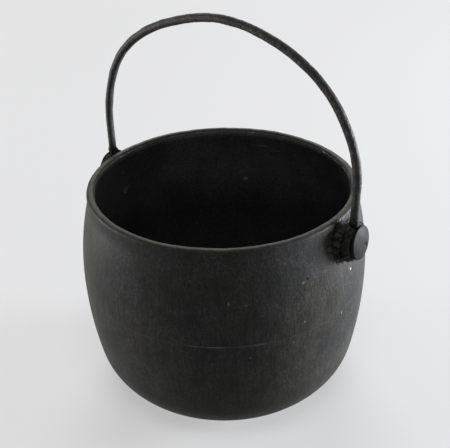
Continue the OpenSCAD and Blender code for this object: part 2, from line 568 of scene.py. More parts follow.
    def dirt_and_crack_shade(self, g: Paint, specks: Socket) -> tuple[Socket, Socket]:
        """Gives the colour and the relief of the cracked crust on the pads, with its cracks painted
        near-black as shade.

        Args:
            g: The material's tree.
            specks: Noise of the finest specks.

        Returns:
            The colour and the relief.
        """
        crust = g.noise(g.where, self.crust_size, 4, 0.7)
        edges = g.cells(g.warped(crust, 4.0), self.crack_size, "DISTANCE_TO_EDGE")
        cracks = g.ramp(edges, 0.02, 0.13, (1.0, 0.0))
        colour = g.blend(g.ramp(crust, 0.44, 0.68), self.soot, self.rust)
        colour = g.blend(g.ramp(specks, 0.64, 0.74, (0.0, 0.8)), colour, self.steel)
        # The cracks are sunk in the relief and painted near-black as shade.
        return g.blend(cracks, colour, self.crack_shade), g.minus(g.times(crust, 2.2), g.times(cracks, 1.4))

    def material(self) -> Material:
        """Builds the node material.

        Returns:
            The finished material.
        """
        g = Paint(self.name)
        grain = g.noise(g.where, self.grain_size, 3, 0.7)
        patch = g.noise(g.where, self.patch_size, 4, 0.6)
        specks = g.noise(g.where, self.speck_size, 2, 0.6)
        colour, height = self.iron(g, grain, patch, specks)
        colour = self.lip(g, colour, grain, patch, specks)
        colour = g.blend(self.seam_share(g), colour, self.seam)

        ragged = g.times(g.minus(patch, 0.5), self.soot_ragged * MM)
        reach = g.plus(g.from_ear(PAD_FACE, 0.5, self.soot_middle), ragged)
        soot = g.span(reach, *self.soot_reach, (1.0, 0.0))
        dirt_and_crack_shade, crust = self.dirt_and_crack_shade(g, specks)
        colour = g.blend(soot, colour, dirt_and_crack_shade)
        height = g.plus(height, g.times(soot, crust))
        colour, height = g.marked(colour, height, self.marks, grain)
        return g.coat(colour, g.ramp(grain, 0.3, 0.7, self.rough), self.specular, (height, *self.bump))


@dataclass(frozen=True)
class HollowFinish:
    """Inside of the pot: burnt black, faintly green, a little greasy, with dull scars and specks, and painted
    lighter up the wall towards the lip as painted light.
    """

    name: str = "burnt_inside"
    black: Colour = (0.0120, 0.0122, 0.0118)
    upper_painted_light: Colour = (0.1000, 0.1050, 0.1015)
    speck: Colour = (0.1000, 0.1040, 0.1000)
    lining: Colour = (0.1400, 0.1700, 0.1450)
    specular: float = 0.14
    rough: Span = (0.36, 0.55)
    bump: tuple[float, float] = (0.45, 0.6)
    upper_painted_light_z: Span = (78.0, 150.0)
    lining_z: Span = (HEIGHT - 4.1, HEIGHT - 1.9)
    marks: tuple[Mark, ...] = (
        Mark((-97.0, 2.4, 121.5), (6.0, 2.6, 3.2), (0.1800, 0.1790, 0.1770), -0.6),
        Mark((-97.0, 6.0, 124.0), (6.0, 2.6, 1.6), (0.1300, 0.1300, 0.1290), -0.6),
        Mark((-93.6, -2.7, 140.5), (5.0, 0.8, 0.9), (0.4000, 0.4100, 0.4000), -0.3),
        Mark((-94.0, -0.5, 138.6), (5.0, 0.5, 1.2), (0.2200, 0.2200, 0.2150), -0.3),
        Mark((-24.0, 89.0, 144.6), (9.0, 5.0, 0.5), (0.2200, 0.2250, 0.2200), -0.4),
        Mark((-14.0, 91.5, 141.6), (6.0, 5.0, 0.4), (0.2200, 0.2250, 0.2200), -0.4),
        Mark((-40.4, 89.6, 110.2), (2.4, 3.0, 2.2), (0.1300, 0.1420, 0.1420), -0.5),
    )

    def material(self) -> Material:
        """Builds the node material.

        Returns:
            The finished material.
        """
        g = Paint(self.name)
        z = g.split(g.where)[2]
        cloud = g.noise(g.where, 46, 5, 0.62)
        grain = g.noise(g.where, 1.8, 3, 0.6)
        blotch = g.noise(g.where, 6.0, 4, 0.7)
        # Painted light and shade: the inner wall is drawn lighter up towards the lip and darker down in the
        # bottom.
        upper = g.span(z, *self.upper_painted_light_z, (0.06, 1.0))
        colour = g.blend(g.times(g.ramp(cloud, 0.38, 0.64, (0.65, 1.0)), upper), self.black, self.upper_painted_light)
        colour = g.scaled(colour, g.ramp(grain, 0.35, 0.65, (0.75, 1.30)))
        specks = g.times(g.ramp(g.noise(g.where, 1.3, 1), 0.74, 0.80), g.ramp(cloud, 0.50, 0.58))
        colour = g.blend(specks, colour, self.speck)
        edge = g.span(z, *self.lining_z)
        torn = g.ramp(g.noise(g.where, 2.2, 3, 0.6), 0.54, 0.62)
        kept = g.ramp(g.noise(g.where, 21, 2), 0.48, 0.57)
        colour = g.blend(g.times(edge, torn, kept), colour, self.lining)
        height = g.plus(g.times(grain, 0.4), g.times(blotch, 0.9))
        colour, height = g.marked(colour, height, self.marks, blotch)
        return g.coat(colour, g.ramp(cloud, 0.35, 0.65, self.rough), self.specular, (height, *self.bump))


@dataclass(frozen=True)
class HeadFinish:
    """Headed ears: grey iron that the bail and hands have rubbed smooth, dark in its pits."""

    name: str = "ear_iron"
    grey: Colour = (0.0116, 0.0118, 0.0122)
    dark: Colour = (0.0074, 0.0073, 0.0072)
    rust: Colour = (0.0070, 0.0060, 0.0050)
    specular: float = 0.048
    rough: Span = (0.52, 0.64)
    bump: tuple[float, float] = (0.45, 0.3)

    def material(self) -> Material:
        """Builds the node material.

        Returns:
            The finished material.
        """
        g = Paint(self.name)
        grain = g.noise(g.where, 1.1, 3, 0.6)
        cloud = g.noise(g.where, 7.0, 3, 0.6)
        out = g.calc("ABSOLUTE", g.split(g.where)[0])
        on_head = g.span(out, HEAD_FACE + 0.4, HEAD_FACE + 1.8)
        colour = g.blend(g.ramp(cloud, 0.32, 0.62), self.dark, self.grey)
        colour = g.blend(g.ramp(grain, 0.60, 0.72, (0.0, 0.6)), colour, self.dark)
        colour = g.blend(on_head, self.rust, colour)
        height = g.plus(g.times(grain, 0.6), g.times(cloud, 0.8))
        return g.coat(colour, g.ramp(cloud, 0.3, 0.7, self.rough), self.specular, (height, *self.bump))


@dataclass(frozen=True)
class ForgedFinish:
    """Forged rod of the bail: brown-black and pitted, rubbed grey on its high spots, sooty at the eyes."""

    name: str = "forged_iron"
    black: Colour = (0.0230, 0.0232, 0.0230)
    brown: Colour = (0.0290, 0.0265, 0.0220)
    rubbed: Colour = (0.1050, 0.1060, 0.1060)
    soot: Colour = (0.0150, 0.0143, 0.0135)
    crust: Colour = (0.0420, 0.0400, 0.0375)
    soot_reach: Span = (17.0, 30.0)
    soot_ragged: float = 8.0
    specular: Span = (0.09, 0.02)
    rough: Span = (0.42, 0.66)
    bump: tuple[float, float] = (0.7, 0.4)

    def material(self) -> Material:
        """Builds the node material.

        Returns:
            The finished material.
        """
        g = Paint(self.name)
        grain = g.noise(g.where, 1.0, 4, 0.65)
        scale = g.noise(g.where, 4.5, 3, 0.6)
        pits = g.cells(g.where, 2.2, "SMOOTH_F1")
        colour = g.blend(g.ramp(scale, 0.40, 0.62), self.black, self.brown)
        high = g.times(g.ramp(grain, 0.50, 0.64), g.ramp(scale, 0.35, 0.60), 0.75)
        colour = g.blend(high, colour, self.rubbed)
        reach = g.plus(g.from_ear(LEG_X, 1.0, (0.0, EYE_Z)), g.times(scale, self.soot_ragged * MM))
        sooty = g.span(reach, *self.soot_reach, (1.0, 0.0))
        colour = g.blend(sooty, colour, g.blend(g.ramp(grain, 0.48, 0.62), self.soot, self.crust))
        height = g.plus(g.times(grain, 0.6), g.times(g.ramp(pits, 0.0, 0.35), 0.8))
        specular = g.ramp(sooty, 0.0, 1.0, self.specular)
        return g.coat(colour, g.ramp(grain, 0.3, 0.7, self.rough), specular, (height, *self.bump))


@dataclass(frozen=True)
class LiningFinish:
    """Last flakes of the pale lining that clings under the lip."""

    name: str = "old_lining"
    pale: Colour = (0.4200, 0.4700, 0.4300)
    stained: Colour = (0.1000, 0.1200, 0.1050)
    rough: float = 0.38
    specular: float = 0.5

    def material(self) -> Material:
        """Builds the node material.

        Returns:
            The finished material.
        """
        g = Paint(self.name)
        colour = g.blend(g.ramp(g.noise(g.where, 2.6, 3, 0.6), 0.44, 0.60), self.stained, self.pale)
        return g.coat(colour, self.rough, self.specular)


class ShapeTree:
    """A geometry node tree with named inputs, run once on an object and then baked."""

    def __init__(self, name: str, surface: Material, sizes: dict[str, float], **plain: float) -> None:
        """Opens the tree.

        Args:
            name: Name of the tree.
            surface: Material that Set Material gives at the end.
            sizes: Named inputs that are lengths, in millimetres.
            **plain: Named inputs that are plain numbers, such as Seed.
        """
        self.tree = bpy.data.node_groups.new(name, "GeometryNodeTree")
        self.g = Graph(self.tree)
        self.values = {label: size * MM for label, size in sizes.items()} | plain
        self.surface = surface
        face = self.tree.interface
        face.new_socket("Geometry", in_out="INPUT", socket_type="NodeSocketGeometry")
        for label in self.values:
            face.new_socket(label, in_out="INPUT", socket_type="NodeSocketFloat")
        face.new_socket("Surface", in_out="INPUT", socket_type="NodeSocketMaterial")
        face.new_socket("Geometry", in_out="OUTPUT", socket_type="NodeSocketGeometry")
        self.given = self.g.add("NodeGroupInput").outputs
        self.place = self.g.add("GeometryNodeInputPosition").outputs[0]
        self.normal = self.g.add("GeometryNodeInputNormal").outputs[0]

    def noise(self, size: str, detail: float, rough: float = 0.5) -> Socket:
        """Gives seeded noise whose patches have the size of a named input.

        Args:
            size: Name of the input.
            detail: How many finer layers the noise has.
            rough: How strong the finer layers are.

        Returns:
            The noise, from 0 to 1.
        """
        inputs = {
            "Vector": self.place,
            "W": self.given["Seed"],
            "Scale": self.g.calc("DIVIDE", 1.0, self.given[size]),
            "Detail": detail,
            "Roughness": rough,
        }
        return self.g.add("ShaderNodeTexNoise", inputs, noise_dimensions="4D").outputs[0]

    def from_ear(self) -> tuple[Socket, Socket]:
        """Gives each point's height above the ear axis, and its distance from that axis.

        Returns:
            The height and the distance.
        """
        _, y, z = self.g.split(self.place)
        up = self.g.minus(z, self.given["Ear Height"])
        return up, self.g.calc("SQRT", self.g.plus(self.g.times(y, y), self.g.times(up, up)))

    def swollen(
        self, geometry: Socket, swell: Socket, near: object, far: object, chosen: object = True
    ) -> Socket:
        """Swells a surface, and keeps it between two distances from the middle of the pot.

        Args:
            geometry: The surface.
            swell: How far each point moves along its normal.
            near: Least distance along X, on either side.
            far: Greatest distance along X, on either side.
            chosen: Points that move.

        Returns:
            The swollen surface.
        """
        g = self.g
        x, y, z = g.split(g.vector("ADD", self.place, g.scaled(self.normal, swell)))
        out = g.calc("MINIMUM", g.calc("MAXIMUM", g.calc("ABSOLUTE", x), near), far)
        side = g.calc("SIGN", g.split(self.place)[0])
        inputs = {"Geometry": geometry, "Selection": chosen, "Position": g.point(g.times(out, side), y, z)}
        return g.add("GeometryNodeSetPosition", inputs).outputs[0]

    def close(self, geometry: Socket) -> None:
        """Ends the tree in Realize Instances and Set Material.

        Args:
            geometry: What the tree has made.
        """
        real = self.g.add("GeometryNodeRealizeInstances", {0: geometry}).outputs[0]
        dressed = self.g.add("GeometryNodeSetMaterial", {"Geometry": real, "Material": self.given["Surface"]})
        self.g.add("NodeGroupOutput", {0: dressed.outputs[0]})

    def bake(self, source: Piece, name: str) -> Piece:
        """Runs the tree on an object and keeps the result as a plain mesh.

        Args:
            source: Object that the tree reads; it is removed.
            name: Name of the finished piece.

        Returns:
            A mesh object at the origin.
        """
        run = source.modifiers.new(self.tree.name, "NODES")
        run.node_group = self.tree
        for item in self.tree.interface.items_tree:
            if item.in_out == "INPUT" and item.name in self.values:
                run[item.identifier] = float(self.values[item.name])
            elif item.in_out == "INPUT" and item.name == "Surface":
                run[item.identifier] = self.surface
        graph = bpy.context.evaluated_depsgraph_get()
        mesh = bpy.data.meshes.new_from_object(source.evaluated_get(graph), depsgraph=graph)
        source.modifiers.remove(run)
        bpy.data.objects.remove(source)
        mesh.name = name
        mesh.polygons.foreach_set("use_smooth", [True] * len(mesh.polygons))
        return placed(name, mesh)


@dataclass
class PotCasting:
    """The pot in one casting with the raised pad at each ear."""

    mouth_r: float = 95.3
    upper_flank_r: float = 210.0
    lower_flank_r: float = 300.0
    corner_r: float = 42.0
    neck_curve_r: float = 31.0
    wall: float = 4.4
    base: float = 5.5
    rim: float = 5.6
    lip_round: float = 2.2
    lip_undercut_r: float = 5.0
    seam_spread: float = 0.504
    seam_mean: float = 0.62
    seam_least: float = 0.25
    seam_turn: float = -0.94
    seam_front: Span = (0.80, 0.92)
    pad_r: float = 12.4
    pad_draft: float = 1.1
    pad_shoulder: float = 1.3
    pad_fillet: float = 2.6
    pad_top: float = HEIGHT - 3.0
    pad_merge: Span = (HEIGHT - 10.5, HEIGHT - 3.5)
    pad_sunk: float = 0.6
    crust_from: Span = (10.6, 12.4)
    crust_to: Span = (15.0, 16.8)
    crust_top: Span = (4.5, 9.5)
    lip_band: float = 9.0
    lip_lift: float = 0.38
    lip_waves: Waves = ((3, 0.12, 0.4), (7, 0.10, 2.1), (13, 0.08, 4.0), (29, 0.06, 1.2), (53, 0.05, 5.1))
    seam_waves: Waves = ((2, 0.18, 1.0), (5, 0.12, 0.3), (17, 0.08, 2.2))
    pad_waves: Waves = ((2, 0.25, 0.6), (3, 0.22, 2.4), (7, 0.14, 1.1), (11, 0.10, 4.2))
    around: int = 384
    step: float = 1.9
    floor_step: float = 4.0
    neck_step: float = 1.0
    lip_step: float = 0.35
    middle_r: float = 2.0
    # The finer rings by the seam: the last of them and the next plain one, in degrees off the belly.
    seam_below: Span = (0.45, 0.5)
    seam_above: Span = (0.65, 0.7)
    seam_step: float = 0.3
    pad_around: int = 180
    pad_face_rings: tuple[float, ...] = (2.0, 6.0, 8.0, 9.6, 10.4)
    pad_uneven_from: float = 8.0
    pad_foot_sunk: float = 0.25
    pad_back: float = 2.0

    def flank(
        self, depth: float, floor: float, round_r: float, hollow_r: float, edge_r: float
    ) -> list[Point]:
        """Draws one skin of the body, from the floor of the pot up to the lip.

        Args:
            depth: How far the skin lies inside the outer one.
            floor: Height of its floor.
            round_r: Radius of its corner.
            hollow_r: Radius of the hollow curve under the lip.
            edge_r: Radius at the lip.

        Returns:
            Points from the axis outwards and up.
        """
        low_r, high_r = self.lower_flank_r - depth, self.upper_flank_r - depth
        low_x, high_x = BELLY_R - self.lower_flank_r, BELLY_R - self.upper_flank_r
        corner_z = floor + round_r
        corner_x = low_x + math.sqrt((low_r - round_r) ** 2 - (BELLY_Z - corner_z) ** 2)
        low_a = math.degrees(math.asin((BELLY_Z - corner_z) / (low_r - round_r)))
        hollow_x = edge_r + hollow_r
        hollow_z = BELLY_Z + math.sqrt((high_r + hollow_r) ** 2 - (hollow_x - high_x) ** 2)
        high_a = math.degrees(math.acos((hollow_x - high_x) / (high_r + hollow_r)))
        return [
            *line((self.middle_r, floor), (corner_x, floor), self.floor_step),
            *arc(corner_x, corner_z, round_r, -90, -low_a, self.step),
            *arc(low_x, BELLY_Z, low_r, -low_a, -self.seam_below[1], self.step),
            *arc(low_x, BELLY_Z, low_r, -self.seam_below[0], 0, self.seam_step),
            *arc(high_x, BELLY_Z, high_r, 0, self.seam_above[0], self.seam_step),
            *arc(high_x, BELLY_Z, high_r, self.seam_above[1], high_a, self.step),
            *arc(hollow_x, hollow_z, hollow_r, 180 + high_a, 180, self.neck_step),
        ]

    def outer(self) -> list[Point]:
        """Draws the outer skin."""
        return self.flank(0, 0, self.corner_r, self.neck_curve_r, self.mouth_r)

    def wall_at(self, height: np.ndarray) -> np.ndarray:
        """Gives the outer radius at each height above the corner.

        Args:
            height: Heights.

        Returns:
            The radii.
        """
        points = np.array(self.outer())
        points = points[np.argsort(points[:, 1])]
        return np.interp(height, points[:, 1], points[:, 0])

    def body(self, skin: Material, hollow: Material) -> Piece:
        """Turns the body: outer skin, rounded lip and inner skin.

        Args:
            skin: Finish of the outside and the lip.
            hollow: Finish of the inside.

        Returns:
            The body, with both finishes in its slots.
        """
        inner_r = self.mouth_r - self.rim
        inner = self.flank(self.wall, self.base, self.corner_r - self.wall, self.lip_undercut_r, inner_r)
        lip = (HEIGHT - self.lip_round, self.lip_round)
        lip_out = arc(self.mouth_r - self.lip_round, *lip, 0, 90, self.lip_step)
        lip_in = arc(inner_r + self.lip_round, *lip, 90, 180, self.lip_step)
        outline = joined(self.outer(), lip_out, lip_in, inner[::-1])
        lathe = Lathe(outline, self.around)
        points = lathe.points()
        rings = np.arange(len(outline))[:, None]
        inside_from = len(joined(self.outer(), lip_out, lip_in[:-4]))
        turn = np.arctan2(points[..., 1], points[..., 0])
        height = points[..., 2]
        near_lip = smooth_step(height, HEIGHT - self.lip_band, HEIGHT)
        points[..., 2] += near_lip * (wander(turn, self.lip_waves) + self.lip_lift)
        ridge = np.exp(-(((height - BELLY_Z) / self.seam_spread) ** 2)) * (rings < inside_from)
        strength = self.seam_mean + wander(turn, self.seam_waves)
        in_front = smooth_step(np.cos(turn - self.seam_turn), *self.seam_front)
        strength *= self.seam_least + (1 - self.seam_least) * in_front
        grow = 1 + ridge * SEAM_RISE * strength / BELLY_R
        points[..., 0] *= grow
        points[..., 1] *= grow
        made = lathe_object("pot_body", lathe, points)
        made.data.materials.append(skin)
        made.data.materials.append(hollow)
        faces = np.full(len(made.data.polygons), Zone.OUTSIDE.value, np.int32)
        faces[inside_from * self.around : (len(outline) - 1) * self.around] = Zone.INSIDE.value
        faces[-self.around :] = Zone.INSIDE.value
        made.data.polygons.foreach_set("material_index", faces)
        return made

    def pad(self, side: Side, skin: Material) -> Piece:
        """Raises the round pad at one ear, filleted into the wall as cast iron is.

        Args:
            side: Which ear.
            skin: Finish of the outside.

        Returns:
            The pad.
        """
        turn = np.linspace(0, 2 * math.pi, self.pad_around, endpoint=False)
        ragged = wander(turn, self.pad_waves)
        rings = []
        shoulder, fillet = self.pad_shoulder, self.pad_fillet
        profile = [(r, 0.0, 0.0) for r in self.pad_face_rings]
        profile += [
            (self.pad_r - shoulder + shoulder * math.sin(a), shoulder * (1 - math.cos(a)), 0.0)
            for a in np.linspace(0.1, math.pi / 2, 6)
        ]
        foot = self.pad_r + self.pad_draft
        quarter = np.linspace(0.10, math.pi / 2, 22)
        profile += [(foot + fillet * (1 - math.cos(a)), shoulder, math.sin(a)) for a in quarter]
        for r, drop, share in profile:
            loose = r + ragged * smooth_step(np.array(r), self.pad_uneven_from, self.pad_r)
            y, level = loose * np.cos(turn), EAR_Z + loose * np.sin(turn)
            z = np.minimum(level, self.pad_top)
            wall_x = np.sqrt(self.wall_at(z) ** 2 - y**2) - self.pad_foot_sunk
            top_x = PAD_FACE - drop
            x = top_x + (wall_x - top_x) * share
            x = x + (wall_x - self.pad_sunk - x) * smooth_step(level, *self.pad_merge)
            rings.append(np.stack([x * side.value, y * side.value, z], axis=1))
        points = np.array(rings)
        back = points[-1].copy()
        back[:, 0] -= self.pad_back * side.value
        points = np.concatenate([points, back[None]])
        lathe = Lathe(np.zeros((len(points), 2)), len(turn))
        plain = lathe_object(f"pad_{side.name.lower()}", lathe, points[::-1])
        return self.crust_tree(skin).bake(plain, plain.name)

    def crust_tree(self, skin: Material) -> ShapeTree:
        """Writes the tree that roughens the flank of a pad and leaves its face flat.

        Args:
            skin: Finish of the outside.

        Returns:
            The tree, ready to bake.
        """
        sizes = {
            "Crust Height": 1.9,
            "Crust Size": 5.0,
            "Crack Size": 6.0,
            "Ear Height": EAR_Z,
            "Face": PAD_FACE - 0.1,
        }
        shape = ShapeTree("crusted_pad", skin, sizes, Seed=5.0)
        g, given = shape.g, shape.given
        up, from_axis = shape.from_ear()
        edges = {"Vector": shape.place, "Scale": g.calc("DIVIDE", 1.0, given["Crack Size"])}
        cracks = g.add("ShaderNodeTexVoronoi", edges, feature="DISTANCE_TO_EDGE").outputs["Distance"]
        lumps = g.ramp(shape.noise("Crust Size", 5.0, 0.62), 0.30, 0.70, (-0.35, 1.0))
        rise = g.minus(lumps, g.ramp(cracks, 0.0, 0.12, (0.5, 0.0)))
        flank = g.times(
            g.span(from_axis, *self.crust_from),
            g.span(from_axis, *self.crust_to, (1.0, 0.0)),
            g.span(up, *self.crust_top, (1.0, 0.0)),
        )
        swell = g.times(rise, flank, given["Crust Height"])
        shape.close(shape.swollen(given["Geometry"], swell, 0.0, given["Face"]))
        return shape

    def build(self, skin: Material, hollow: Material) -> Piece:
        """Casts the whole pot.

        Args:
            skin: Finish of the outside and the lip.
            hollow: Finish of the inside.

        Returns:
            The finished piece.
        """
        return join("pot_casting", [self.body(skin, hollow), *(self.pad(side, skin) for side in Side)])


@dataclass
class HeadedEar:
    """A cast-in stud: the neck that the bail turns on, and the round head that keeps it there."""

    side: Side
    neck_r: float = 6.2
    neck_fillet: float = 0.9
    head_r: float = 11.6
    head_t: float = 2.5
    head_dome: float = 1.24
    head_lean: float = 6.5
    head_round: float = 0.8
    pit: Point = (4.4, -3.2)
    pit_reach: Point = (0.9, 1.6)
    pit_depth: float = 0.9
    neck_start: float = PAD_FACE - 1.5
    middle_r: float = 0.3
    around: int = 144
    shrink: float = 0.12
    roll_height: float = 0.10
    roll_y: float = 2.1
    roll_z: float = 2.6
    step: float = 0.6
    edge_step: float = 0.15

    @property
    def edge(self) -> float:
        """Where the head's rim ends and its dome begins, from the pot's axis."""
        return HEAD_FACE + self.head_t

    def outline(self) -> np.ndarray:
        """Draws the stud as (radius, distance from the pot's axis).

        Returns:
            The outline, from the shank to the middle of the dome.
        """
        flat_r = self.head_r - self.head_round
        dome_r = (flat_r**2 + self.head_dome**2) / (2 * self.head_dome)
        dome_a = math.degrees(math.asin(flat_r / dome_r))
        return joined(
            line((self.middle_r, self.neck_start), (self.neck_r, self.neck_start), 2.0),
            line((self.neck_r, self.neck_start), (self.neck_r, HEAD_FACE - self.neck_fillet), self.step),
            arc(self.neck_r + self.neck_fillet, HEAD_FACE - self.neck_fillet, self.neck_fillet, 180, 90, 0.2),
            line((self.neck_r + self.neck_fillet, HEAD_FACE), (flat_r, HEAD_FACE), self.step),
            arc(flat_r, HEAD_FACE + self.head_round, self.head_round, -90, 0, self.edge_step),
            arc(flat_r, self.edge - self.head_round, self.head_round, 0, 90 - dome_a, self.edge_step),
            arc(0, self.edge + self.head_dome - dome_r, dome_r, 90 - dome_a, 89.6, 0.45),
        )

    def leaned(self, out: np.ndarray, up: np.ndarray, share: np.ndarray) -> tuple[np.ndarray, np.ndarray]:
        """Leans the head's outer face up, and leaves its inner face square to the neck.

        Args:
            out: Distance of each point from the pot's axis.
            up: Height of each point above the ear axis.
            share: 0 on the neck to 1 near the head's edge.

        Returns:
            The new distances and heights.
        """
        lean = math.radians(self.head_lean)
        past = out - self.edge
        back = (up * math.sin(lean) - self.head_t) / math.cos(lean)
        along = np.where(past > 0, past, back * np.clip(-past / self.head_t, 0, 1))
        new_out = self.edge + along * math.cos(lean) - up * math.sin(lean)
        new_up = up * math.cos(lean) + along * math.sin(lean)
        on_face = np.maximum(share, smooth_step(out, self.edge - 0.5, self.edge))
        return out + (new_out - out) * on_face, up + (new_up - up) * on_face

    def build(self, surface: Material) -> Piece:
        """Makes the stud on its side of the pot.

        Args:
            surface: Finish of the ear.

        Returns:
            The finished piece.
        """
        lathe = Lathe(self.outline(), self.around)
        points = lathe.points()
        x, y, out = points[..., 0].copy(), points[..., 1].copy(), points[..., 2].copy()
        turn, r = np.arctan2(y, x), np.hypot(x, y)
        on_head = smooth_step(r, self.neck_r + 1, self.head_r - 1)
        seed = 0.7 * self.side.value
        uneven = wander(turn, ((2, 0.11, 0.9 + seed), (3, 0.09, 2.0), (5, 0.06, 4.4 + seed), (9, 0.04, 1.0)))
        r_new = r * (1 + on_head * (uneven - self.shrink) / self.head_r)
        x, y = r_new * np.cos(turn), r_new * np.sin(turn)
        up, along = (-x, y) if self.side is Side.RIGHT else (x, y)
        front = smooth_step(out, self.edge - 0.2, self.edge)
        pit_y, pit_z = (along - self.pit[0]) / self.pit_reach[0], (up - self.pit[1]) / self.pit_reach[1]
        sunk = self.pit_depth * np.exp(-(pit_y**2) - pit_z**2)
        rolling = self.roll_height * np.sin(along / self.roll_y + 1.0) * np.sin(up / self.roll_z)
        out = out + front * (rolling - sunk)
        out, up = self.leaned(out, up, on_head)
        turned = np.stack([out * self.side.value, along, up + EAR_Z], axis=2)
        made = lathe_object(f"ear_stud_{self.side.name.lower()}", lathe, turned)
        made.data.materials.append(surface)
        return made


@dataclass(frozen=True)
class Bend:
    """A place where the hand-forged crown strays from a fair curve.

    The place and reach run along the rod from the middle of the crown, to the right where
    positive, and the drift is outwards where positive. All are millimetres.
    """

    place: float
    reach: float
    drift: float


@dataclass
class Bail:
    """The forged rod handle: one long crown, two shoulders, straight legs and a bent eye at each end."""

    crown_rise: float = 130.0
    crown_r: float = 115.5
    shoulder_r: float = 85.5
    eye_bend_r: float = 6.25
    eye_ring_r: float = 10.0
    eye_end: float = 343.0
    tip_share: float = 0.72
    tip_reach: float = 2.2
    leg_share: float = 0.87
    left_lean: float = 0.3
    right_lean: float = 0.4
    leg_from: Span = (EAR_Z + 10.0, EAR_Z + 15.0)
    leg_to: Span = (EAR_Z + 26.0, EAR_Z + 66.0)
    arch_from: Span = (EAR_Z + 16.0, EAR_Z + 40.0)
    crust_from: Span = (9.5, 11.8)
    crust_to: Span = (13.5, 17.5)
    arch_step: float = 2.0
    eye_step: float = 0.8
    spacing: float = 0.55
    sides: float = 30.0
    bends: tuple[Bend, ...] = (
        Bend(-108.0, 16.0, 0.6),
        Bend(-90.0, 22.0, 1.1),
        Bend(-40.0, 16.0, -0.5),
        Bend(-28.0, 18.0, -0.8),
        Bend(0.0, 26.0, -0.2),
        Bend(38.0, 22.0, -0.6),
        Bend(70.0, 24.0, -0.4),
        Bend(108.0, 30.0, -0.9),
    )

    def half(self) -> np.ndarray:
        """Draws the centreline from the top of the crown to the tip of the right eye.

        Returns:
            The points, as (count, xyz).
        """
        lean = math.degrees(math.asin((LEG_X - self.shoulder_r) / (self.crown_r - self.shoulder_r)))
        crown_z = EAR_Z + self.crown_rise - self.crown_r
        shoulder_z = crown_z + (self.crown_r - self.shoulder_r) * math.cos(math.radians(lean))
        meet = math.degrees(math.asin(self.eye_bend_r / (self.eye_ring_r + self.eye_bend_r)))
        bend_z = EYE_Z + (self.eye_ring_r + self.eye_bend_r) * math.cos(math.radians(meet))
        arch = joined(
            arc(0, crown_z, self.crown_r, 90, 90 - lean, self.arch_step),
            arc(LEG_X - self.shoulder_r, shoulder_z, self.shoulder_r, 90 - lean, 0, self.arch_step),
            line((LEG_X, shoulder_z), (LEG_X, bend_z), self.arch_step),
        )
        eye = joined(
            arc(self.eye_bend_r, bend_z, self.eye_bend_r, 180, 270 - meet, self.eye_step),
            arc(0, EYE_Z, self.eye_ring_r, 90 - meet, 90 - self.eye_end, self.eye_step),
        )
        over = np.stack([arch[:, 0], np.zeros(len(arch)), arch[:, 1]], axis=1)
        round_eye = np.stack([np.full(len(eye), LEG_X), eye[:, 0], eye[:, 1]], axis=1)
        return np.concatenate([over, round_eye[1:]])

    def centreline(self) -> Piece:
        """Lays the whole centreline as a curve, thinner at the very tip of each eye.

        Returns:
            The curve, with the width of the rod in its radius.
        """
        right = self.half()
        left = right[::-1] * (-1, 1, 1)
        path = np.concatenate([left, right[1:]])
        along = np.concatenate([[0], np.cumsum(np.linalg.norm(np.diff(path, axis=0), axis=1))])
        from_end = np.minimum(along, along[-1] - along)
        from_crown = along - along[-1] / 2
        run_x, run_z = np.gradient(path[:, 0]), np.gradient(path[:, 2])
        size = np.hypot(run_x, run_z) + 1e-9
        arch = smooth_step(path[:, 2], *self.arch_from)
        for bend in self.bends:
            drift = arch * bend.drift * np.exp(-(((from_crown - bend.place) / bend.reach) ** 2))
            path[:, 0] -= drift * run_z / size
            path[:, 2] += drift * run_x / size
        leg = smooth_step(path[:, 2], *self.leg_from) * (1 - smooth_step(path[:, 2], *self.leg_to))
        path[:, 0] -= np.where(path[:, 0] > 0, self.right_lean, self.left_lean) * leg
        curve = bpy.data.curves.new("bail_line", "CURVE")
        curve.dimensions = "3D"
        run = curve.splines.new("POLY")
        run.points.add(len(path) - 1)
        flat = np.concatenate([path * MM, np.ones((len(path), 1))], axis=1)
        run.points.foreach_set("co", flat.ravel())
        at_tip = self.tip_share + (1 - self.tip_share) * smooth_step(from_end, 0.0, self.tip_reach)
        run.points.foreach_set("radius", at_tip * (1 - (1 - self.leg_share) * leg))
        return placed("bail_line", curve)

    def rod_tree(self, surface: Material) -> ShapeTree:
        """Writes the tree that sweeps the rod and works it with hammer marks and pits.

        Args:
            surface: Finish of the rod.

        Returns:
            The tree, ready to bake.
        """
        sizes = {
            "Rod Radius": ROD_D / 2,
            "Ring Spacing": self.spacing,
            "Hammer Depth": 0.26,
            "Hammer Size": 12.0,
            "Pit Depth": 0.22,
            "Pit Size": 2.0,
            "Crust Height": 1.3,
            "Crust Size": 3.4,
            "Least Crust": 0.02,
            "Ear Height": EAR_Z,
            "Calm Height": EAR_Z + 14.0,
            "Calm Reach": 20.0,
            "Eye Side": LEG_X - ROD_D / 2,
            "Eye Width": ROD_D,
        }
        shape = ShapeTree("hammered_rod", surface, sizes, Sides=self.sides, Seed=3.0)
        worked = self.hammered(shape)
        g, given = shape.g, shape.given
        from_axis = shape.from_ear()[1]
        on_eye = g.times(g.span(from_axis, *self.crust_from), g.span(from_axis, *self.crust_to, (1.0, 0.0)))
        crust = g.ramp(shape.noise("Crust Size", 4.0), 0.36, 0.66)
        swell = g.times(crust, given["Crust Height"], on_eye)
        far = g.plus(given["Eye Side"], given["Eye Width"])
        chosen = g.calc("GREATER_THAN", swell, given["Least Crust"])
        shape.close(shape.swollen(worked, swell, given["Eye Side"], far, chosen))
        return shape

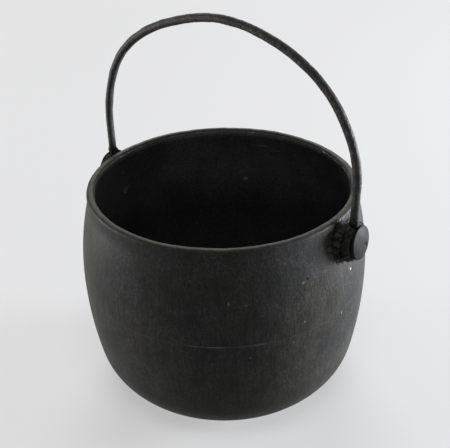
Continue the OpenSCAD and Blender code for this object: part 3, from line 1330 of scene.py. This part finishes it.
    def hammered(self, shape: ShapeTree) -> Socket:
        """Sweeps the rod along its line and sinks hammer marks and pits into it.

        Args:
            shape: The rod's tree.

        Returns:
            The rod, calmer towards the eyes, where it runs close to the pads and heads.
        """
        g, given = shape.g, shape.given
        line_in = {"Curve": given["Geometry"], "Length": given["Ring Spacing"]}
        rings = g.add("GeometryNodeResampleCurve", line_in, mode="LENGTH").outputs[0]
        size = {"Resolution": given["Sides"], "Radius": given["Rod Radius"]}
        disc = g.add("GeometryNodeCurvePrimitiveCircle", size).outputs[0]
        swept = {"Curve": rings, "Profile Curve": disc, "Fill Caps": True}
        rod = g.add("GeometryNodeCurveToMesh", swept).outputs[0]
        blows = g.times(g.ramp(shape.noise("Hammer Size", 1.0), 0.30, 0.70), given["Hammer Depth"])
        pits = g.times(g.ramp(shape.noise("Pit Size", 2.0), 0.30, 0.48, (1.0, 0.0)), given["Pit Depth"])
        above = g.minus(g.split(shape.place)[2], given["Calm Height"])
        above = g.calc("DIVIDE", above, given["Calm Reach"])
        calm = g.ramp(above, 0.0, 1.0, (0.30, 1.0))
        raised = g.times(given["Hammer Depth"], 0.8)
        sunk = g.times(calm, g.minus(raised, g.plus(blows, pits)))
        offset = g.scaled(shape.normal, sunk)
        return g.add("GeometryNodeSetPosition", {"Geometry": rod, "Offset": offset}).outputs[0]

    def build(self, surface: Material) -> Piece:
        """Forges the bail.

        Args:
            surface: Finish of the rod.

        Returns:
            The finished piece.
        """
        return self.rod_tree(surface).bake(self.centreline(), "bail_rod")


@dataclass
class LiningFlakes:
    """Small flakes of old lining, scattered along the inner edge of the lip."""

    edge_r: float = 89.75
    edge_z: float = HEIGHT - 1.5
    places: int = 1100
    flake: float = 0.34
    patch: float = 7.0
    sparse: float = 0.51
    waves: Waves = ((11, 0.35, 0.2), (37, 0.30, 1.9), (83, 0.25, 4.0))
    wave_in: float = 0.12
    least: tuple[float, float, float] = (0.25, 0.4, 0.35)
    most: tuple[float, float, float] = (0.7, 1.9, 1.1)
    runs: tuple[Span, ...] = ((158.0, 187.0), (133.0, 144.0), (108.0, 116.0), (34.0, 78.0))

    def build(self, surface: Material) -> Piece:
        """Scatters the flakes.

        Args:
            surface: Finish of the flakes.

        Returns:
            The finished piece, all flakes in one mesh.
        """
        turn = np.linspace(0, 2 * math.pi, self.places, endpoint=False)
        degrees = np.degrees(turn)
        turn = turn[np.any([(degrees > low) & (degrees < high) for low, high in self.runs], axis=0)]
        wave = wander(turn, self.waves)
        r = self.edge_r + self.wave_in * wave
        ring = np.stack([r * np.cos(turn), r * np.sin(turn), self.edge_z + wave], axis=1)
        mesh = bpy.data.meshes.new("lining_places")
        mesh.from_pydata((ring * MM).tolist(), [], [])
        source = placed("lining_places", mesh)

        sizes = {"Flake Size": self.flake, "Patch Size": self.patch}
        shape = ShapeTree("lining_flakes", surface, sizes, Seed=11.0)
        g, given = shape.g, shape.given
        kept = g.calc("GREATER_THAN", shape.noise("Patch Size", 4.0), self.sparse)
        sizes_in = {"Min": self.least, "Max": self.most}
        chance = g.add("FunctionNodeRandomValue", sizes_in, data_type="FLOAT_VECTOR").outputs[0]
        x, y, _ = g.split(shape.place)
        flake = g.add("GeometryNodeMeshIcoSphere", {"Radius": 1.0, "Subdivisions": 1}).outputs[0]
        inputs = {
            "Points": given["Geometry"],
            "Selection": kept,
            "Instance": flake,
            "Rotation": g.point(0.0, 0.0, g.calc("ARCTAN2", y, x)),
            "Scale": g.scaled(chance, given["Flake Size"]),
        }
        shape.close(g.add("GeometryNodeInstanceOnPoints", inputs).outputs[0])
        return shape.bake(source, "lining_flakes")


@dataclass(frozen=True)
class Lamp:
    """One soft lamp of the studio, aimed at the pot; its place, width and height are in metres."""

    name: str
    place: tuple[float, float, float]
    size: tuple[float, float]
    watts: float
    colour: Colour = (1.0, 1.0, 1.0)

    def hang(self, target: Vector) -> None:
        """Puts the lamp up and turns it to the target.

        Args:
            target: Point that the lamp faces.
        """
        data = bpy.data.lights.new(self.name, "AREA")
        data.shape = "ELLIPSE"
        data.size, data.size_y = self.size
        data.energy = self.watts
        data.color = self.colour
        lamp = placed(self.name, data)
        lamp.location = self.place
        lamp.rotation_mode = "QUATERNION"
        lamp.rotation_quaternion = (target - Vector(self.place)).to_track_quat("-Z", "Y")


@dataclass
class Studio:
    """A pale table top, soft lamps, and the camera above and to the right of the pot."""

    lamps: tuple[Lamp, ...] = (
        Lamp("window", (1.14, 1.155, 0.11), (0.7, 0.15), 110.0, (0.90, 0.925, 1.0)),
        Lamp("wall", (-1.45, -0.68, 0.11), (0.6, 0.15), 31.0),
        Lamp("sky", (-2.35, 3.28, 2.15), (3.1, 3.1), 175.0),
        Lamp("ceiling", (0.45, -0.60, 2.30), (1.2, 1.2), 19.0),
    )
    surround: float = 0.06
    table: Colour = (0.655, 0.655, 0.665)
    backdrop: float = 0.89
    table_glow: float = 0.5
    floor_reach: float = 9000.0
    aim: tuple[float, float, float] = (0.0, 0.0, 0.09)
    camera_mm: tuple[float, float, float] = (281.383, -389.527, 401.440)
    heading: float = -35.713
    pitch: float = 30.1597
    roll: float = -1.5047
    lens: float = 60.955

    def floor(self) -> None:
        """Lays the plain pale floor."""
        corners = np.array([(-1, -1, 0), (1, -1, 0), (1, 1, 0), (-1, 1, 0)]) * self.floor_reach
        top = mesh_object("table_top", corners, [(0, 1, 2, 3)])
        paint = bpy.data.materials.new("pale_table")
        paint.use_nodes = True
        g = Graph(paint.node_tree)
        matt = g.add("ShaderNodeBsdfDiffuse", {"Color": (*self.table, 1.0)})
        glow = g.add("ShaderNodeEmission", {"Color": (1.0, 1.0, 1.0, 1.0), "Strength": self.backdrop})
        share = g.times(self.seen(g), self.table_glow)
        surface = g.add("ShaderNodeMixShader", {0: share, 1: matt.outputs[0], 2: glow.outputs[0]})
        g.add("ShaderNodeOutputMaterial", {"Surface": surface.outputs[0]})
        top.data.materials.append(paint)

    def seen(self, g: Graph) -> Socket:
        """Gives 1 to a ray from the camera, and to one that a gloss or glass sends on.

        Args:
            g: Tree that asks.

        Returns:
            The share, 0 or 1.
        """
        kinds = g.add("ShaderNodeLightPath").outputs
        gloss = g.calc("MAXIMUM", kinds["Is Glossy Ray"], kinds["Is Transmission Ray"])
        return g.calc("MAXIMUM", kinds["Is Camera Ray"], gloss)

    def air(self) -> None:
        """Fills the surroundings with dim light, and shows them pale to the camera and in reflections."""
        world = bpy.data.worlds.new("surround")
        bpy.context.scene.world = world
        world.use_nodes = True
        g = Graph(world.node_tree)
        strength = g.ramp(self.seen(g), 0.0, 1.0, (self.surround, self.backdrop))
        back = g.add("ShaderNodeBackground", {"Color": (1.0, 1.0, 1.0, 1.0), "Strength": strength})
        g.add("ShaderNodeOutputWorld", {"Surface": back.outputs[0]})

    def camera(self) -> None:
        """Sets the camera, looking down at the pot with a slight roll."""
        turn, dip, roll = (math.radians(a) for a in (self.heading, self.pitch, self.roll))
        look = Vector((math.sin(turn) * math.cos(dip), math.cos(turn) * math.cos(dip), -math.sin(dip)))
        level = Vector((math.cos(turn), -math.sin(turn), 0))
        upright = level.cross(look)
        right = level * math.cos(roll) + upright * math.sin(roll)
        up = upright * math.cos(roll) - level * math.sin(roll)
        data = bpy.data.cameras.new("camera")
        data.lens = self.lens
        data.sensor_width = 36.0
        data.clip_start, data.clip_end = 0.01, 40.0
        made = placed("camera", data)
        axes = Matrix((right, up, -look)).transposed().to_4x4()
        made.matrix_world = Matrix.Translation(Vector(self.camera_mm) * MM) @ axes
        bpy.context.scene.camera = made

    def build(self) -> None:
        """Sets up the whole studio."""
        self.floor()
        self.air()
        for lamp in self.lamps:
            lamp.hang(Vector(self.aim))
        self.camera()
        bpy.context.scene.view_settings.view_transform = "Standard"


def keep(piece: Piece, body: str, node: str | None = None) -> None:
    """Fastens a finished piece to the frame and reports it.

    Args:
        piece: The finished piece.
        body: Body that it moves with.
        node: Plain solid that it stands for, if any.
    """
    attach(piece, body)
    if node:
        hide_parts(node)
    LOG.info("%s: %d faces, on %s", piece.name, len(piece.data.polygons), body)


def main() -> None:
    """Builds the pot and the studio, in order, and logs each piece's face count."""
    logging.basicConfig(level=logging.INFO, format="%(name)s: %(message)s")
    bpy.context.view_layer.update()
    Studio().build()
    skin = SkinFinish().material()
    ear_surface = HeadFinish().material()
    keep(PotCasting().build(skin, HollowFinish().material()), "pot", "pot")
    keep(LiningFlakes().build(LiningFinish().material()), "pot")
    for side in Side:
        keep(HeadedEar(side).build(ear_surface), "pot", f"ear_{side.name.lower()}")
    keep(Bail().build(ForgedFinish().material()), "bail", "bail")


if __name__ == "__main__":
    main()
